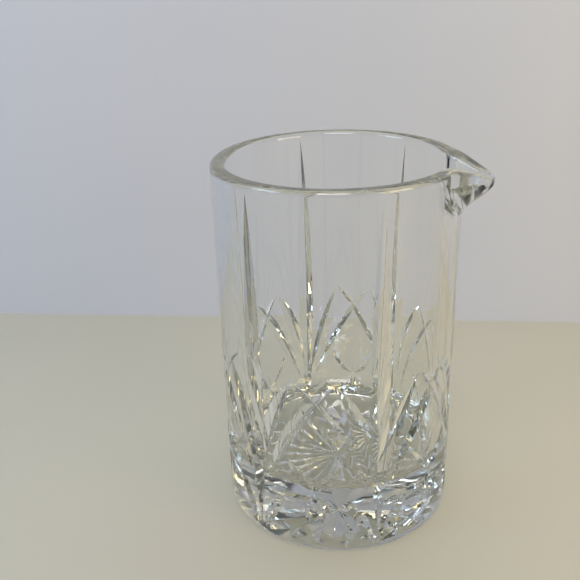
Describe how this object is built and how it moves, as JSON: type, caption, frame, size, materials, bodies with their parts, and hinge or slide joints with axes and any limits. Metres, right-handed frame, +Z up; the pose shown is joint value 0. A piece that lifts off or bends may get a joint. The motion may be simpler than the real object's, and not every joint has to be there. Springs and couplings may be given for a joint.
{
  "type": "mixing glass",
  "caption": "Straight-sided clear cocktail mixing glass with a thick base, tall V cuts, a cut leaf fan around the lower wall and a beak pouring lip.",
  "frame": {"origin": "centre of the resting face, on the axis of the round wall", "axes": "+Z up along the axis of the wall; +X towards the pouring lip"},
  "size_m": [0.1185, 0.106, 0.166],
  "materials": {
    "clear_glass": "polished clear crystal, faint grey-green in thick sections"
  },
  "bodies": {
    "root": {"glass_body": "clear_glass"}
  },
  "joints": []
}
